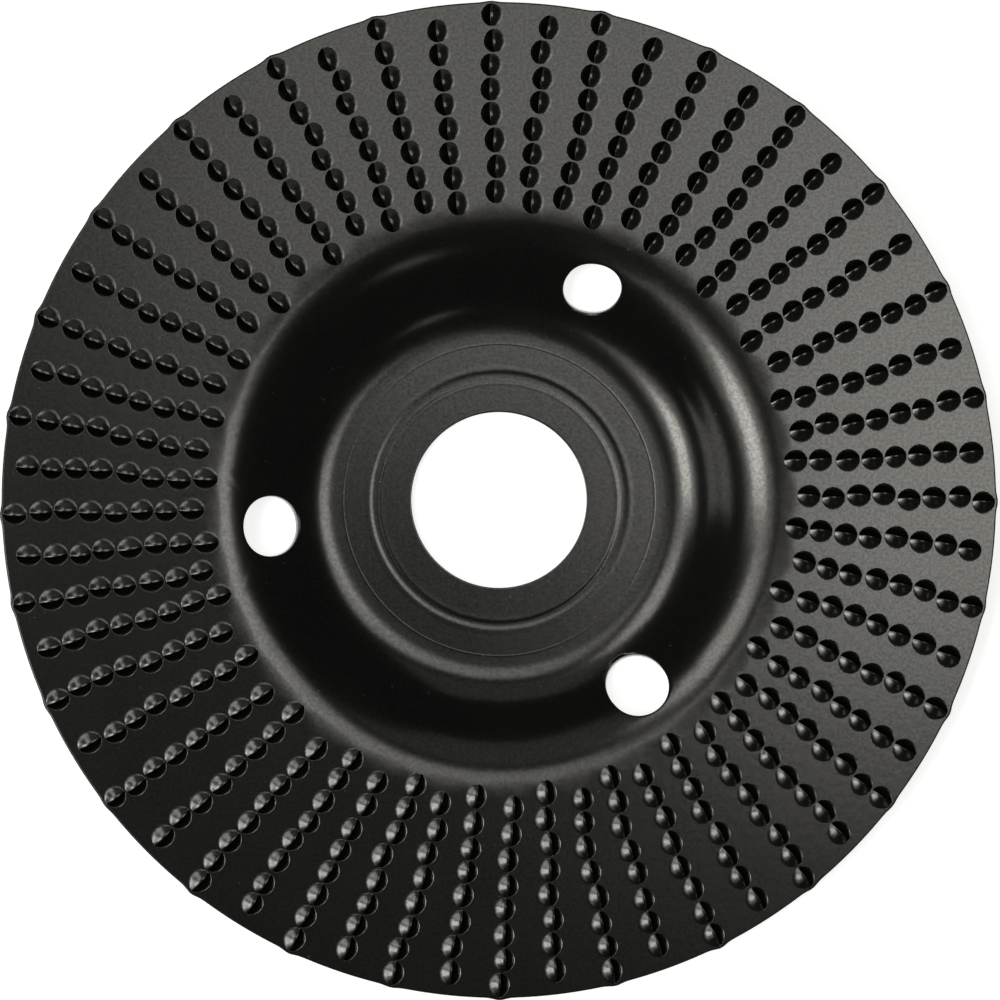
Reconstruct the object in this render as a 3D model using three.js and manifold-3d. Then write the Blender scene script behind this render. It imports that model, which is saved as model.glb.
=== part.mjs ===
// Carving disc for an angle grinder: one round of sheet steel, pressed into a shallow dish
// around its arbor hole, with rows of raised teeth punched up out of the flat outer band.
// Millimetres. +Z is the disc's axis and points out of the toothed face. The origin is on
// the axis, in the plane of the hub's back face, which is what the grinder's flange bears on.
import * as THREE from "three";
import { mergeVertices } from "three/addons/utils/BufferGeometryUtils.js";
import Module from "manifold-3d";

// Blank
const DISC_RADIUS = 62.5;
const BORE_RADIUS = 22.23 / 2;
const SHEET = 1.6;

// Dish: flat hub, a hollow fillet that rises from it, and a round shoulder onto the flat band
const HUB_FLAT_RADIUS = 20.9;
const HUB_FILLET = 11;
const SHOULDER = 15;
const DISH_DEPTH = 5.35;

// Three round holes through the slope, for air and for seeing the work
const HOLE_COUNT = 3;
const HOLE_ACROSS = 8.1; // round the disc
const HOLE_ALONG = 7.8; // towards the axis, seen in plan
const HOLE_OUTSIDE_STEEPEST = 1.6; // from the steepest part of the slope to the hole's centre
const FIRST_HOLE_ANGLE = 66.5;

// Teeth: half domes, each with its upright cutting face towards the direction of turning
const ROWS = 56;
const FIRST_ROW_ANGLE = 0.95;
const TOOTH_PITCH = 3.15;
const TOOTH_LENGTH = 2.9; // along the row
const TOOTH_DEPTH = 1.45; // from the cutting face to the dome's tail
const TOOTH_HEIGHT = 0.4;
const RIM_TO_TOOTH = 1.6; // rim to the centre of the first tooth, in the rows that start there
const STAGGER = 1.4; // how much further in the first tooth of every other row is
const DOME_SINK = 0.05; // how far a dome's widest section lies below the band's face
const RIM_BULGE = 0.35; // how far the stroke nearest the rim pushes the rim out
const RIM_BULGE_SLOPE = 0.2; // how steeply the bulge leaves the round of the rim

// Where the rows stand off even spacing: [row, width in rows, degrees]
const ROW_DRIFT = [
  [2.5, 2.2, -1.3],
  [16, 2.2, 0.9],
  [23.5, 4.2, 3.2],
  [32, 2.6, -2.2],
  [49, 2, 0.5],
];
// Sideways run of a row per millimetre of its length, and how it swings round the disc
const LEAN_MEAN = -0.036;
const LEAN_SWING = 0.035;
const LEAN_SWING_ANGLE = 100;
// Scatter of single punch strokes, each way
const SCATTER_ALONG = 0.3;
const SCATTER_ACROSS = 0.4;
const SCATTER_TURN = 5;

// Facets
const LATHE_STEPS = 60;
const ARC_STEP = 9.5; // degrees of profile arc to a facet
const HOLE_SIDES = 24;
const DOME_SIDES = 4; // round the row's direction
const DOME_FACETS = 3; // along the row

// Worked out from the sizes above
const DISH_ANGLE = Math.acos(1 - DISH_DEPTH / (HUB_FILLET + SHOULDER));
const STEEPEST_RADIUS = HUB_FLAT_RADIUS + HUB_FILLET * Math.sin(DISH_ANGLE);
const BAND_INNER_RADIUS = STEEPEST_RADIUS + SHOULDER * Math.sin(DISH_ANGLE);
const HUB_FACE_Z = SHEET;
const BAND_FACE_Z = SHEET + DISH_DEPTH;
const FILLET_CENTRE = new THREE.Vector2(HUB_FLAT_RADIUS, HUB_FACE_Z + HUB_FILLET);
const SHOULDER_CENTRE = new THREE.Vector2(BAND_INNER_RADIUS, BAND_FACE_Z - SHOULDER);

const wasm = await Module();
wasm.setup();

const { degToRad } = THREE.MathUtils;

function toSolid(geometry) {
  const bare = geometry.clone();
  bare.deleteAttribute("normal");
  bare.deleteAttribute("uv");
  const merged = mergeVertices(bare);
  return new wasm.Manifold(
    new wasm.Mesh({
      numProp: 3,
      vertProperties: merged.attributes.position.array,
      triVerts: new Uint32Array(merged.index.array),
    }),
  );
}

function toGeometry(solid) {
  const mesh = solid.getMesh();
  const geometry = new THREE.BufferGeometry();
  geometry.setAttribute("position", new THREE.BufferAttribute(mesh.vertProperties, 3));
  geometry.setIndex(new THREE.BufferAttribute(mesh.triVerts, 1));
  geometry.computeVertexNormals();
  return geometry;
}

// Points of an arc in the profile's plane, from one angle to another, both in radians.
function arc(centre, radius, from, to) {
  const steps = Math.ceil(Math.abs(to - from) / degToRad(ARC_STEP));
  const points = [];
  for (let i = 0; i <= steps; i++) {
    const angle = from + ((to - from) * i) / steps;
    points.push(
      new THREE.Vector2(
        centre.x + radius * Math.cos(angle),
        centre.y + radius * Math.sin(angle),
      ),
    );
  }
  return points;
}

// One face of the dish, from hub to band. The back face is the front one offset by the sheet.
function dishFace(offset) {
  const down = -Math.PI / 2;
  const up = Math.PI / 2;
  return [
    ...arc(FILLET_CENTRE, HUB_FILLET + offset, down, down + DISH_ANGLE),
    ...arc(SHOULDER_CENTRE, SHOULDER - offset, up + DISH_ANGLE, up).slice(1),
  ];
}

function pressedSheet() {
  const outline = [
    new THREE.Vector2(BORE_RADIUS, 0),
    ...dishFace(SHEET),
    new THREE.Vector2(DISC_RADIUS, DISH_DEPTH),
    new THREE.Vector2(DISC_RADIUS, BAND_FACE_Z),
    ...dishFace(0).reverse(),
    new THREE.Vector2(BORE_RADIUS, HUB_FACE_Z),
    new THREE.Vector2(BORE_RADIUS, 0),
  ];
  return toSolid(new THREE.LatheGeometry(outline, LATHE_STEPS).rotateX(Math.PI / 2));
}

// The hole is square to the sheet, so its cutter leans by the slope's angle.
function holeCutter(index) {
  const reach = 4 * SHEET;
  const radius = STEEPEST_RADIUS + HOLE_OUTSIDE_STEEPEST;
  const sink = SHOULDER_CENTRE.x - radius;
  const sheetMiddle = SHOULDER - SHEET / 2;
  const slope = Math.asin(sink / sheetMiddle);
  const height = SHOULDER_CENTRE.y + sheetMiddle * Math.cos(slope);
  const cutter = new THREE.CylinderGeometry(1, 1, reach, HOLE_SIDES);
  cutter.rotateX(Math.PI / 2);
  cutter.scale(HOLE_ALONG / 2 / Math.cos(slope), HOLE_ACROSS / 2, 1);
  cutter.rotateY(-slope);
  cutter.translate(radius, 0, height);
  cutter.rotateZ(degToRad(FIRST_HOLE_ANGLE + (360 / HOLE_COUNT) * index));
  return toSolid(cutter);
}

// A repeatable scatter between -1 and 1 for each tooth and each use.
function scatter(row, tooth, use) {
  const wave = Math.sin(row * 12.9898 + tooth * 78.233 + use * 37.719) * 43758.5453;
  return 2 * (wave - Math.floor(wave)) - 1;
}

function rowDrift(row) {
  let drift = 0;
  for (const [centre, width, degrees] of ROW_DRIFT) {
    drift += degrees * Math.exp(-(((row - centre) / width) ** 2));
  }
  return drift;
}

// The middle facet lies inside the round dome, so the dome is widened until it has full height.
function toothDome() {
  const dome = new THREE.SphereGeometry(1, DOME_SIDES, DOME_FACETS);
  const widen = 1 / Math.cos(Math.PI / 2 / DOME_FACETS);
  const height = (TOOTH_HEIGHT + DOME_SINK) * widen;
  dome.scale(TOOTH_DEPTH * widen, TOOTH_LENGTH / 2, height);
  const front = new THREE.BoxGeometry(TOOTH_DEPTH * 2, TOOTH_LENGTH * 2, height * 3);
  front.translate(-TOOTH_DEPTH, 0, 0);
  return toGeometry(toSolid(dome).subtract(toSolid(front)));
}

// The row's own Y axis runs outwards, so +X is the side that trails when the disc turns.
function toothAt(dome, row, tooth, rowAngle, lean) {
  const first = DISC_RADIUS - RIM_TO_TOOTH - (row % 2) * STAGGER;
  const last = BAND_INNER_RADIUS;
  const along = first - tooth * TOOTH_PITCH + SCATTER_ALONG * scatter(row, tooth, 1);
  const across = lean * (along - (first + last) / 2) + SCATTER_ACROSS * scatter(row, tooth, 2);
  const turn = Math.atan(lean) + degToRad(SCATTER_TURN) * scatter(row, tooth, 3);
  const placed = dome.clone();
  placed.rotateZ(turn - Math.PI / 2);
  placed.translate(along, across, BAND_FACE_Z - DOME_SINK);
  placed.rotateZ(rowAngle);
  return toSolid(placed);
}

// A low wedge as thick as the sheet, whose inner half lies inside the rim.
function rimBulgeAt(row, rowAngle, lean) {
  const first = DISC_RADIUS - RIM_TO_TOOTH;
  const across = (lean * (first - BAND_INNER_RADIUS)) / 2 + SCATTER_ACROSS * scatter(row, 0, 2);
  const depth = 2 * RIM_BULGE;
  const wedge = new THREE.CylinderGeometry(1, 1, SHEET, 4).rotateX(Math.PI / 2);
  wedge.scale(depth, depth / RIM_BULGE_SLOPE, 1);
  wedge.translate(DISC_RADIUS + RIM_BULGE - depth, across, DISH_DEPTH + SHEET / 2);
  wedge.rotateZ(rowAngle);
  return toSolid(wedge);
}

function teeth() {
  const dome = toothDome();
  const solids = [];
  for (let row = 0; row < ROWS; row++) {
    const even = (360 / ROWS) * row + FIRST_ROW_ANGLE;
    const rowAngle = degToRad(even + rowDrift(row));
    const swing = Math.cos(degToRad(even - LEAN_SWING_ANGLE));
    const lean = LEAN_MEAN + LEAN_SWING * swing;
    const first = DISC_RADIUS - RIM_TO_TOOTH - (row % 2) * STAGGER;
    const count = Math.floor((first - BAND_INNER_RADIUS) / TOOTH_PITCH) + 1;
    for (let tooth = 0; tooth < count; tooth++) {
      solids.push(toothAt(dome, row, tooth, rowAngle, lean));
    }
    if (row % 2 === 0) {
      solids.push(rimBulgeAt(row, rowAngle, lean));
    }
  }
  return wasm.Manifold.union(solids);
}

function pressedDisc() {
  let sheet = pressedSheet();
  for (let i = 0; i < HOLE_COUNT; i++) {
    sheet = sheet.subtract(holeCutter(i));
  }
  const mesh = new THREE.Mesh(
    toGeometry(sheet.add(teeth())),
    new THREE.MeshStandardMaterial({ color: 0x23221f, roughness: 0.38, metalness: 0.0 }),
  );
  mesh.name = "pressed_disc";
  return mesh;
}

const carvingDisc = new THREE.Group();
carvingDisc.add(pressedDisc());

export default carvingDisc;
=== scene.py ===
import math
import bmesh
import bpy
from mathutils import Matrix, Vector


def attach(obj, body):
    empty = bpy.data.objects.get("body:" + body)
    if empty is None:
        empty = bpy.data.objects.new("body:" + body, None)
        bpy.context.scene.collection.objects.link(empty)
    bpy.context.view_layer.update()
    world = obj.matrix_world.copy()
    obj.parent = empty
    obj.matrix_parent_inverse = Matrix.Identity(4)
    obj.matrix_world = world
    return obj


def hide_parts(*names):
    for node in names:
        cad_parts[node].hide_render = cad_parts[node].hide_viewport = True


# An angle grinder's carving disc: one round of sheet steel, dished round its arbor hole, with
# three vent holes and rows of teeth punched up out of its flat outer band, painted black.
# The disc lies on a pale floor with its toothed face up.

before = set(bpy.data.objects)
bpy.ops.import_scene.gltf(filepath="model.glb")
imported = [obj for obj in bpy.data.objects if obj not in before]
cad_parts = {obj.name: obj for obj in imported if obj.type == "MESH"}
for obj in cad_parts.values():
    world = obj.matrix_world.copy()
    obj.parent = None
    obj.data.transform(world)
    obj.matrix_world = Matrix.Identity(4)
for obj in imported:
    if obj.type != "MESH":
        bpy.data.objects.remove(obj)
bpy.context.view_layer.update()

# ---------------------------------------------------------------------------------------
# Sizes in millimetres, the same as the solid's. The finished mesh is turned into metres once.
# ---------------------------------------------------------------------------------------
MM = 0.001
DISC_RADIUS = 62.5
BORE_RADIUS = 22.23 / 2
SHEET = 1.6
HUB_FLAT_RADIUS = 20.9
HUB_FILLET = 11.0
SHOULDER = 15.0
DISH_DEPTH = 5.35

ROWS = 56
FIRST_ROW_ANGLE = 0.95
TOOTH_PITCH = 3.15
TOOTH_LENGTH = 3.3           # the solid's are 2.9
RIM_TO_TOOTH = 1.6
STAGGER = 1.4
ROW_DRIFT = ((2.5, 2.2, -1.3), (16, 2.2, 0.9), (23.5, 4.2, 3.2), (32, 2.6, -2.2), (49, 2, 0.5))
LEAN_MEAN = -0.036
LEAN_SWING = 0.035
LEAN_SWING_ANGLE = 100
SCATTER_ALONG = 0.3
SCATTER_ACROSS = 0.4
SCATTER_TURN = 5

DISH_ANGLE = math.acos(1 - DISH_DEPTH / (HUB_FILLET + SHOULDER))
STEEPEST_RADIUS = HUB_FLAT_RADIUS + HUB_FILLET * math.sin(DISH_ANGLE)
BAND_INNER_RADIUS = STEEPEST_RADIUS + SHOULDER * math.sin(DISH_ANGLE)
BAND_FACE = SHEET + DISH_DEPTH
FILLET_CENTRE = (HUB_FLAT_RADIUS, SHEET + HUB_FILLET)
SHOULDER_CENTRE = (BAND_INNER_RADIUS, BAND_FACE - SHOULDER)

# ---------------------------------------------------------------------------------------
# Finer sizes that only the finished surface has
# ---------------------------------------------------------------------------------------
MARK_WEB = 0.012           # least metal left on each side between two marks
DISH_STEPS = 240
RIM_STEPS = 720
FILLET_STEPS = 12
SHOULDER_STEPS = 14
ROUND_STEPS = 3            # round the bore's, the rim's and the vent holes' edges
FILL_RADIUS = 35.4         # where the turned dish ends and the punched band begins
EDGE_ROUND = 0.1           # paint and tumbling round the bore by this much
RIM_ROUND = 0.18
RIM_FLAT = 0.03            # level ring that keeps the band flat right up to the rounded rim
HOLE_EDGE_ROUND = 0.22
RIM_BULGE = 0.25           # how far a punch stroke at the rim pushes the rim out
RIM_BULGE_SCATTER = 0.08
RIM_BULGE_WIDTH = 0.95
RIM_BULGE_REACH = 2.2
RIM_STROKE_GAP = 0.3       # a tooth that ends nearer the rim than this pushes it out
RING_OFFSET = 0.2          # the clamp's mark on the hub is this far off centre
RING_RADII = (14.6, 15.5)


def arc(centre, radius, start, end, steps):
    """Points along an arc in the profile's plane, ends included; angles in radians."""
    turns = [start + (end - start) * i / steps for i in range(steps + 1)]
    return [(centre[0] + radius * math.cos(a), centre[1] + radius * math.sin(a)) for a in turns]


def dish_height(radius, offset):
    """Height of the front face at a radius, or of the back face where offset is the sheet."""
    fillet, shoulder = HUB_FILLET + offset, SHOULDER - offset
    turn_over = FILLET_CENTRE[0] + fillet * math.sin(DISH_ANGLE)
    if radius <= HUB_FLAT_RADIUS:
        return FILLET_CENTRE[1] - fillet
    if radius < turn_over:
        return FILLET_CENTRE[1] - math.sqrt(fillet ** 2 - (radius - HUB_FLAT_RADIUS) ** 2)
    if radius < BAND_INNER_RADIUS:
        return SHOULDER_CENTRE[1] + math.sqrt(shoulder ** 2 - (BAND_INNER_RADIUS - radius) ** 2)
    return SHOULDER_CENTRE[1] + shoulder


def dish_face(offset, reach):
    """The curved part of one face, from the hub's flat out to a radius."""
    fillet = arc(FILLET_CENTRE, HUB_FILLET + offset, -math.pi / 2, -math.pi / 2 + DISH_ANGLE,
                 FILLET_STEPS)
    shoulder = SHOULDER - offset
    stop = math.pi / 2 + math.asin((BAND_INNER_RADIUS - reach) / shoulder)
    rest = arc(SHOULDER_CENTRE, shoulder, math.pi / 2 + DISH_ANGLE, stop, SHOULDER_STEPS)
    return fillet + rest[1:]


def hub_face():
    """The hub's front, from the bore out: a raised lip and a shallow groove that the forming
    clamp left, and a fine line near the fillet."""
    marks = (
        (14.4, 0), (14.7, 0), (14.85, 0.003), (15, 0.004), (15.12, 0), (15.2, -0.008),
        (15.3, -0.02), (15.4, -0.028), (15.48, -0.03), (15.75, -0.03), (15.9, -0.029),
        (16.05, -0.024), (16.2, -0.012), (16.32, 0), (16.45, 0.006), (16.6, 0.007), (16.8, 0.005),
        (17.1, 0), (17.2, 0), (19.55, 0), (19.66, 0), (19.74, 0.01), (19.82, 0), (19.93, 0),
    )
    return [(radius, SHEET + rise) for radius, rise in marks]


def spin_chain(bm, chain, steps):
    """Turns a chain of (radius, height) points once round the axis."""
    verts = [bm.verts.new((radius, 0, height)) for radius, height in chain]
    edges = [bm.edges.new(pair) for pair in zip(verts, verts[1:])]
    bmesh.ops.spin(bm, geom=verts + edges, axis=(0, 0, 1), cent=(0, 0, 0), dvec=(0, 0, 0),
                   angle=math.tau, steps=steps, use_merge=True, use_duplicate=False)


def make_dish(bm):
    """Both faces of the hub and the slope, joined through the bore."""
    r = EDGE_ROUND
    corner = BORE_RADIUS + r
    bore = arc((corner, SHEET - r), r, math.pi / 2, math.pi, ROUND_STEPS)
    bore += [(BORE_RADIUS, SHEET - 2 * r), (BORE_RADIUS, 2 * r)]
    bore += arc((corner, r), r, math.pi, 1.5 * math.pi, ROUND_STEPS)
    front = [(corner + r, SHEET)] + hub_face() + dish_face(0, FILL_RADIUS)
    back = [(corner + r, 0), (HUB_FLAT_RADIUS - 1, 0)] + dish_face(SHEET, BAND_INNER_RADIUS)
    spin_chain(bm, front[::-1] + bore + back, DISH_STEPS)
    for vert in bm.verts:
        if vert.co.z > SHEET / 2 and RING_RADII[0] < vert.co.xy.length < RING_RADII[1]:
            vert.co.y -= RING_OFFSET


def make_rim(bm):
    """The disc's cut edge, rounded from one face of the band to the other."""
    inner = DISC_RADIUS - RIM_ROUND
    chain = [(inner - RIM_FLAT, BAND_FACE)]
    chain += arc((inner, BAND_FACE - RIM_ROUND), RIM_ROUND, math.pi / 2, 0, ROUND_STEPS)
    chain += arc((inner, DISH_DEPTH + RIM_ROUND), RIM_ROUND, 0, -math.pi / 2, ROUND_STEPS)
    chain += [(inner - RIM_FLAT, DISH_DEPTH)]
    spin_chain(bm, chain, RIM_STEPS)


# ---------------------------------------------------------------------------------------
# Vent holes
# ---------------------------------------------------------------------------------------
# They stand where the solid's do. Pressing the dish drew each round hole out into an oval. For
# each: the mean radius of its clear opening, how far it is drawn out as a share of that, and
# towards which side, in degrees from straight out.
FIRST_HOLE_ANGLE = 66.5
HOLE_OUTSIDE_STEEPEST = 1.6  # from the steepest part of the slope to the hole's centre
HOLE_OVALS = ((3.2, 0.11, 105), (3.5, 0.07, 85), (3.7, 0.02, 70))
WALL_SHIFT = 0.4             # how far one face's edge stands back from the other's, from above
HOLE_PATCH_RADII = (23.6, 34.6)
HOLE_PATCH_HALF_ANGLE = math.radians(12.4)
HOLE_RINGS = (0.35, 0.5, 0.6, 1.0)  # share of what is left that each new ring closes in by


def opening_reach(oval, turn):
    """The opening's radius in a direction."""
    radius, drawn_out, towards = oval
    return radius * (1 + drawn_out * math.cos(2 * (turn - math.radians(towards))))


def is_in_patch(face, offset, out, across):
    """Whether a face lies in the part of one side of the sheet that the hole clears."""
    spot = face.calc_center_median()
    radius = spot.xy.length
    aside = math.atan2(spot.xy.dot(across), spot.xy.dot(out))
    on_side = abs(spot.z - dish_height(radius, offset)) < SHEET / 4
    low, high = HOLE_PATCH_RADII
    return on_side and low < radius < high and abs(aside) < HOLE_PATCH_HALF_ANGLE


def open_vent_hole(bm, angle, oval):
    """Clears a patch of both faces, draws its border in to the hole, and walls the hole."""
    out = Vector((math.cos(angle), math.sin(angle)))
    across = Vector((-out.y, out.x))
    centre = out * (STEEPEST_RADIUS + HOLE_OUTSIDE_STEEPEST)
    lips = []
    for offset, shifted_side in ((0, -1), (SHEET, 1)):
        patch = {face for face in bm.faces if is_in_patch(face, offset, out, across)}
        border = [edge for edge in {e for f in patch for e in f.edges}
                  if sum(f in patch for f in edge.link_faces) == 1]
        bmesh.ops.delete(bm, geom=list(patch), context="FACES")
        for share in HOLE_RINGS:
            made = bmesh.ops.extrude_edge_only(bm, edges=border)["geom"]
            border = [g for g in made if isinstance(g, bmesh.types.BMEdge)]
            for vert in (g for g in made if isinstance(g, bmesh.types.BMVert)):
                away = vert.co.xy - centre
                turn = math.atan2(away.dot(across), away.dot(out))
                reach = opening_reach(oval, turn)
                reach += WALL_SHIFT * max(0, shifted_side * math.cos(turn))
                spot = centre + away * (1 + (reach / away.length - 1) * share)
                vert.co = (spot.x, spot.y, dish_height(spot.length, offset))
        lips.append(border)
    bmesh.ops.bridge_loops(bm, edges=lips[0] + lips[1])
    bmesh.ops.bevel(bm, geom=lips[0] + lips[1], offset=HOLE_EDGE_ROUND, segments=ROUND_STEPS,
                    profile=0.5, affect="EDGES", material=-1)


# ---------------------------------------------------------------------------------------
# Punch marks
# ---------------------------------------------------------------------------------------
# A mark is drawn row by row, from the tooth's tail over the cutting edge and down into the
# hollow. All rows meet in the mark's two pointed ends. X runs along the row of teeth with the
# mark's half length as one, and stamp() stretches it. Y is in millimetres and points in the
# direction of turning.
MARK_COLUMNS = 8
END_REACH = 0.97             # all but the two outer rows end this far out
TAIL_LENGTH = 1.64
HOLLOW_LENGTH = 1.34
TOOTH_HEIGHT = 0.35
TAIL_SLOPE = math.tan(math.radians(16))
TAIL_BLEND = 0.07            # how softly the tooth runs out into the band
CUTTING_EDGE_EASE = 0.18     # the ramp flattens out over this much before the cutting edge
CUTTING_EDGE_ROUND = 0.1
CUTTING_EDGE_BOW = 0.15
CROWN_TAPER = 1.3            # how fast the cutting edge falls towards the mark's two ends
HOLLOW_TAPER = 0.6
BLEND_ENDING = 6             # the soft run-out fades where 1 - x * x is under one over this
OUTER_ROW_REACH = 0.985
WELD = 1e-4                  # points of the mark closer than this are made one
# Shares of the tail, or of the hollow. The first two are level, so that the band's face stays
# flat right up to the mark.
TAIL_ROWS = (1, 0.975, 0.88, 0.77, 0.63, 0.45, 0.25)
HOLLOW_ROWS = ((0, -0.72), (0.35, -0.46), (0.6, -0.21), (0.74, -0.095), (0.84, -0.037),
               (0.92, -0.01), (0.975, 0), (1, 0))
EDGE_TURNS = (0, 30, 60, 90)  # degrees round the cutting edge


def tooth_rise(x, behind):
    """Height of the tooth: a ramp up to the cutting edge, lower and shorter towards the two
    ends of the mark."""
    ending = max(0, 1 - x * x)
    ramp = math.hypot(behind, CUTTING_EDGE_EASE) - CUTTING_EDGE_EASE
    top = TOOTH_HEIGHT * ending ** CROWN_TAPER - TAIL_SLOPE * ramp * math.sqrt(ending)
    blend = max(0, TAIL_BLEND - abs(top))
    return max(0, top) + blend ** 2 / 4 / TAIL_BLEND * min(1, BLEND_ENDING * ending)


def mark_rows():
    """The rows of points over a mark: how far each reaches towards the ends, and a function
    from X to a point's Y and height."""
    def tail(share):
        def spot(x):
            behind = share * TAIL_LENGTH * math.sqrt(max(0, 1 - x * x))
            bow = CUTTING_EDGE_BOW * (1 - x * x) * (1 - share)
            return bow - behind, 0 if share > 0.95 else tooth_rise(x, behind)
        return spot

    def edge(degrees):
        def spot(x):
            ending = max(0, 1 - x * x)
            turn = math.radians(degrees)
            radius = CUTTING_EDGE_ROUND * ending
            behind = radius * (1 - math.sin(turn))
            drop = radius * (1 - math.cos(turn))
            return CUTTING_EDGE_BOW * ending - behind, tooth_rise(x, behind) - drop
        return spot

    def hollow(share, depth):
        def spot(x):
            ending = max(0, 1 - x * x) ** HOLLOW_TAPER
            bow = CUTTING_EDGE_BOW * (1 - x * x) * (1 - share)
            return bow + share * HOLLOW_LENGTH * ending, depth * ending
        return spot

    spots = [tail(share) for share in TAIL_ROWS] + [edge(degrees) for degrees in EDGE_TURNS]
    spots += [hollow(share, depth) for share, depth in HOLLOW_ROWS]
    inner = len(spots) - 4
    reaches = (1, OUTER_ROW_REACH, *[END_REACH] * inner, OUTER_ROW_REACH, 1)
    return list(zip(reaches, spots))


def punch_mark():
    """One stroke of the punch: it ploughs the hollow and raises the tooth behind it, with an
    upright cutting face between the two."""
    bm = bmesh.new()
    rows = mark_rows()
    last_reach, first_spot = rows[0]
    columns = [-math.cos(math.pi * i / MARK_COLUMNS) for i in range(MARK_COLUMNS + 1)]
    verts = [bm.verts.new((x, *first_spot(x))) for x in columns]
    edges = [bm.edges.new(pair) for pair in zip(verts, verts[1:])]
    foot = len(TAIL_ROWS) + len(EDGE_TURNS)
    for number, (reach, spot) in enumerate(rows[1:], 1):
        made = bmesh.ops.extrude_edge_only(bm, edges=edges)["geom"]
        edges = [g for g in made if isinstance(g, bmesh.types.BMEdge)]
        for vert in (g for g in made if isinstance(g, bmesh.types.BMVert)):
            x = vert.co.x / last_reach
            vert.co = (x * reach, *spot(x))
        for edge in edges:
            edge.smooth = number != foot
        last_reach = reach
    bmesh.ops.remove_doubles(bm, verts=bm.verts, dist=WELD)
    mesh = bpy.data.meshes.new("punch mark")
    bm.to_mesh(mesh)
    bm.free()
    return mesh


def scatter(row, tooth, use):
    """A repeatable scatter between -1 and 1 for each tooth and each use. The multipliers only
    have to be large and unrelated."""
    wave = math.sin(row * 12.9898 + tooth * 78.233 + use * 37.719) * 43758.5453
    return 2 * (wave - math.floor(wave)) - 1


def row_drift(row):
    return sum(degrees * math.exp(-((row - centre) / width) ** 2)
               for centre, width, degrees in ROW_DRIFT)


def tooth_places():
    """Each tooth's row angle, distance out, sideways shift, turn and its two half lengths."""
    places = []
    for row in range(ROWS):
        even = 360 / ROWS * row + FIRST_ROW_ANGLE
        lean = LEAN_MEAN + LEAN_SWING * math.cos(math.radians(even - LEAN_SWING_ANGLE))
        first = DISC_RADIUS - RIM_TO_TOOTH - row % 2 * STAGGER
        count = math.floor((first - BAND_INNER_RADIUS) / TOOTH_PITCH) + 1
        outs = [first - tooth * TOOTH_PITCH + SCATTER_ALONG * scatter(row, tooth, 1)
                for tooth in range(count)]
        rim = DISC_RADIUS - RIM_ROUND - RIM_FLAT - MARK_WEB
        limits = [rim] + [(a + b) / 2 for a, b in zip(outs, outs[1:])] + [FILL_RADIUS]
        for tooth, out in enumerate(outs):
            shift = lean * (out - (first + BAND_INNER_RADIUS) / 2)
            shift += SCATTER_ACROSS * scatter(row, tooth, 2)
            turn = math.atan(lean) + math.radians(SCATTER_TURN) * scatter(row, tooth, 3)
            outer = min(TOOTH_LENGTH / 2, limits[tooth] - out - MARK_WEB)
            inner = min(TOOTH_LENGTH / 2, out - limits[tooth + 1] - MARK_WEB)
            angle = math.radians(even + row_drift(row))
            places.append((angle, out, shift, turn, outer, inner))
    return places


def stamp(bm, mark, place):
    """Sets a copy of the mark into the band's face at a tooth's place."""
    angle, out, shift, turn, outer, inner = place
    old = len(bm.verts)
    bm.from_mesh(mark)
    bm.verts.ensure_lookup_table()
    where = Matrix.Rotation(angle, 4, "Z") @ Matrix.Translation((out, shift, 0))
    where = where @ Matrix.Rotation(turn, 4, "Z")
    for vert in bm.verts[old:]:
        vert.co.x *= outer if vert.co.x > 0 else inner
        vert.co = where @ vert.co
        vert.co.z += dish_height(vert.co.xy.length, 0)


def fill_band(bm, front):
    """Fills a face of the band between the rim, the dish and the marks."""
    middle = DISH_DEPTH + SHEET / 2
    edges = [e for e in bm.edges if e.is_boundary and (e.verts[0].co.z > middle) == front]
    bmesh.ops.triangle_fill(bm, edges=edges, use_beauty=True, normal=(0, 0, 1))


def push_out_rim(bm, places):
    """Punching close to the rim pushes it out a little beside each of those teeth."""
    nearest = DISC_RADIUS - RIM_STROKE_GAP - TOOTH_LENGTH / 2
    strokes = [(angle + shift / out, RIM_BULGE + RIM_BULGE_SCATTER * scatter(i, 0, 4))
               for i, (angle, out, shift, *_) in enumerate(places) if out > nearest]
    for vert in bm.verts:
        radius = vert.co.xy.length
        depth = (radius - (DISC_RADIUS - RIM_BULGE_REACH)) / RIM_BULGE_REACH
        if depth <= 0:
            continue
        angle = math.atan2(vert.co.y, vert.co.x)
        push = 0
        for stroke, bulge in strokes:
            aside = math.remainder(angle - stroke, math.tau) * DISC_RADIUS / RIM_BULGE_WIDTH
            push = max(push, bulge * math.exp(-aside * aside))
        vert.co.xy *= 1 + push * min(1, depth) ** 2 / radius


def build_disc():
    bm = bmesh.new()
    make_dish(bm)
    for number, oval in enumerate(HOLE_OVALS):
        degrees = FIRST_HOLE_ANGLE + 360 / len(HOLE_OVALS) * number
        open_vent_hole(bm, math.radians(degrees), oval)
    make_rim(bm)
    places = tooth_places()
    mark = punch_mark()
    for place in places:
        stamp(bm, mark, place)
    bpy.data.meshes.remove(mark)
    for front in (True, False):
        fill_band(bm, front)
    push_out_rim(bm, places)
    bmesh.ops.recalc_face_normals(bm, faces=bm.faces)
    for face in bm.faces:
        face.smooth = True
    bmesh.ops.scale(bm, vec=(MM, MM, MM), verts=bm.verts)
    mesh = bpy.data.meshes.new("carving_disc")
    bm.to_mesh(mesh)
    open_edges = sum(1 for e in bm.edges if not e.is_manifold)
    print("disc: %d faces, %d triangles, %d open edges" % (
        len(bm.faces), sum(len(f.verts) - 2 for f in bm.faces), open_edges))
    bm.free()
    disc = bpy.data.objects.new("carving_disc", mesh)
    bpy.context.scene.collection.objects.link(disc)
    return disc


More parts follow.
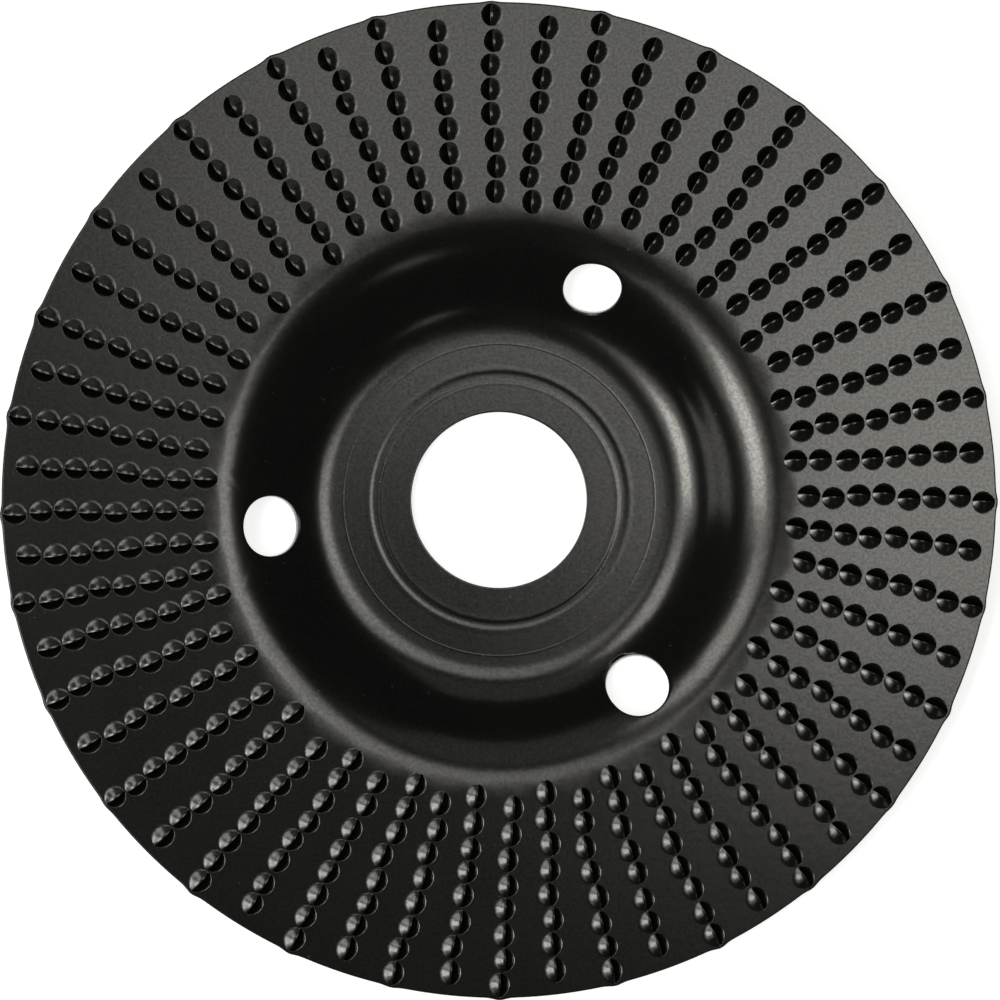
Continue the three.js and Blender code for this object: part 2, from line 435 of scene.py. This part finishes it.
# ---------------------------------------------------------------------------------------
# Materials
# ---------------------------------------------------------------------------------------
class Field:
    """A socket that can be used in an expression; each operator adds one Math node."""

    def __init__(self, tree, socket):
        self.tree = tree
        self.socket = socket

    def node(self, kind, settings=None, **inputs):
        made = self.tree.nodes.new(kind)
        for name, value in (settings or {}).items():
            setattr(made, name, value)
        for name, value in inputs.items():
            key = int(name[1:]) if name[0] == "i" and name[1:].isdigit() else name.replace("_", " ")
            if isinstance(value, Field):
                self.tree.links.new(value.socket, made.inputs[key])
            else:
                made.inputs[key].default_value = value
        return made

    def out(self, made, name=0):
        return Field(self.tree, made.outputs[name])

    def maths(self, operation, a, b=0.0):
        return self.out(self.node("ShaderNodeMath", {"operation": operation}, i0=a, i1=b))

    def __add__(self, other):
        return self.maths("ADD", self, other)

    def __mul__(self, other):
        return self.maths("MULTIPLY", self, other)

    __radd__ = __add__
    __rmul__ = __mul__


PAINT_DARK = (0.0026, 0.0024, 0.0022, 1)
PAINT_LIGHT = (0.0038, 0.0035, 0.0032, 1)
DUST_COLOUR = (0.09, 0.085, 0.075, 1)
GLOSS = 0.16
CLOUD_ROUGHNESS = 0.02
DUST_ROUGHNESS = 0.15
COAT_MOST = 0.4
COAT_ROUGHNESS = 0.17
PEEL_DEPTH = 0.00001         # metres


def black_paint():
    """Satin black paint, sprayed thin over punched steel: a fine orange peel, faint cloudiness
    in the colour and gloss, a fine grain in the coat and a little dust."""
    material = bpy.data.materials.new("satin_black_paint")
    material.use_nodes = True
    tree = material.node_tree
    shader = tree.nodes["Principled BSDF"]
    field = Field(tree, None)
    place = field.out(field.node("ShaderNodeTexCoord"), "Object")

    def noise(scale, detail, roughness=0.5):
        made = field.node("ShaderNodeTexNoise", None, Vector=place, Scale=scale, Detail=detail,
                          Roughness=roughness)
        return field.out(made, 0)

    def clamp_between(value, low, high):
        made = field.node("ShaderNodeMapRange", {"clamp": True, "interpolation_type": "SMOOTHSTEP"},
                          Value=value, From_Min=low, From_Max=high)
        return field.out(made, 0)

    peel = noise(900, 2)
    grain = noise(2600, 2)
    cloud = noise(120, 3)
    dust = clamp_between(noise(1600, 1), 0.76, 0.82)

    tint = field.node("ShaderNodeMix", {"data_type": "RGBA"}, i0=clamp_between(cloud, 0.3, 0.7))
    tint.inputs[6].default_value = PAINT_DARK
    tint.inputs[7].default_value = PAINT_LIGHT
    dusty = field.node("ShaderNodeMix", {"data_type": "RGBA"}, i0=dust * 0.25)
    tree.links.new(tint.outputs[2], dusty.inputs[6])
    dusty.inputs[7].default_value = DUST_COLOUR
    tree.links.new(dusty.outputs[2], shader.inputs["Base Color"])

    gloss = GLOSS + cloud * CLOUD_ROUGHNESS + dust * DUST_ROUGHNESS
    tree.links.new(gloss.socket, shader.inputs["Roughness"])

    coat = clamp_between(grain, 0.3, 0.7) * COAT_MOST
    tree.links.new(coat.socket, shader.inputs["Coat Weight"])
    shader.inputs["Coat Roughness"].default_value = COAT_ROUGHNESS

    bump = field.node("ShaderNodeBump", None, Strength=0.5, Distance=PEEL_DEPTH, Height=peel)
    tree.links.new(bump.outputs[0], shader.inputs["Normal"])
    shader.inputs["IOR"].default_value = 1.46
    return material


def floor_material():
    material = bpy.data.materials.new("pale_floor")
    material.use_nodes = True
    shader = material.node_tree.nodes["Principled BSDF"]
    shader.inputs["Base Color"].default_value = (0.82, 0.82, 0.82, 1)
    shader.inputs["Roughness"].default_value = 0.9
    shader.inputs["Emission Color"].default_value = (1, 1, 1, 1)
    shader.inputs["Emission Strength"].default_value = 0.75
    return material


# ---------------------------------------------------------------------------------------
# Floor, light and camera
# ---------------------------------------------------------------------------------------
FLOOR_RADIUS = 3.0           # metres, as are the places of the lights and the camera
FLOOR_STEPS = 96
FLOOR_DROP = 0.0002          # keeps the floor just clear of the hub's back face


def make_floor():
    bm = bmesh.new()
    bmesh.ops.create_circle(bm, cap_ends=True, radius=FLOOR_RADIUS, segments=FLOOR_STEPS)
    bmesh.ops.translate(bm, vec=(0, 0, -FLOOR_DROP), verts=bm.verts)
    mesh = bpy.data.meshes.new("floor")
    bm.to_mesh(mesh)
    bm.free()
    floor = bpy.data.objects.new("floor", mesh)
    bpy.context.scene.collection.objects.link(floor)
    floor.data.materials.append(floor_material())


LIGHT_HEIGHT = 1.2
LIGHT_TINT = (1, 0.985, 0.91)


def softbox(name, left, right, near, far, radiance):
    """A level soft light above the disc. Its sides are given as the angles from straight up
    at which they appear from the disc, in degrees: left and right along X, near and far
    along Y."""
    x0, x1, y0, y1 = (LIGHT_HEIGHT * math.tan(math.radians(a)) for a in (left, right, near, far))
    light = bpy.data.lights.new(name, "AREA")
    light.shape = "RECTANGLE"
    light.size, light.size_y = x1 - x0, y1 - y0
    light.energy = radiance * light.size * light.size_y * math.pi
    light.color = LIGHT_TINT
    lamp = bpy.data.objects.new(name, light)
    bpy.context.scene.collection.objects.link(lamp)
    lamp.location = ((x0 + x1) / 2, (y0 + y1) / 2, LIGHT_HEIGHT)
    lamp.visible_camera = False


def make_lights():
    softbox("left_light", -31.5, -18, -17, 0.5, 11.2)
    softbox("left_light_halo", -38, -11, -25, 6, 1.4)
    softbox("left_reflector", -24, -10, 5, 21, 5)
    softbox("right_light", 7, 19, -3.5, 5, 5.6)
    softbox("right_light_top", 7, 20, 5, 14, 3.2)
    softbox("back_reflector", -3, 7, 2, 15, 2.4)
    softbox("low_left_fill", -68, -54, -40, 6, 1.3)
    softbox("far_fill", -20, 20, 22, 45, 0.35)
    softbox("small_front_light", 14, 20, -35, -29, 1.4)
    world = bpy.data.worlds.new("studio")
    bpy.context.scene.world = world
    world.use_nodes = True
    world.node_tree.nodes["Background"].inputs["Color"].default_value = (1, 1, 1, 1)
    world.node_tree.nodes["Background"].inputs["Strength"].default_value = 0.06


CAMERA_DISTANCE = 0.643
CAMERA_LEAN = math.radians(-3)
LENS = 184.5
AIM_LEFT = 0.00018           # the camera looks this far to the left of the axis


def make_camera():
    """Straight over the disc, leaning a few degrees to its left."""
    camera = bpy.data.cameras.new("camera")
    camera.lens = LENS
    camera.sensor_width = 36
    camera.clip_start = 0.05
    body = bpy.data.objects.new("camera", camera)
    bpy.context.scene.collection.objects.link(body)
    target = Vector((-AIM_LEFT, 0, BAND_FACE * MM))
    turn = Matrix.Rotation(CAMERA_LEAN, 4, "Y")
    body.location = target + turn @ Vector((0, 0, CAMERA_DISTANCE))
    body.rotation_euler = turn.to_euler()
    bpy.context.scene.camera = body


make_camera()
make_lights()
make_floor()
bpy.context.scene.view_settings.view_transform = "Standard"

disc = build_disc()
disc.data.materials.append(black_paint())
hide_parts("pressed_disc")
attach(disc, "root")
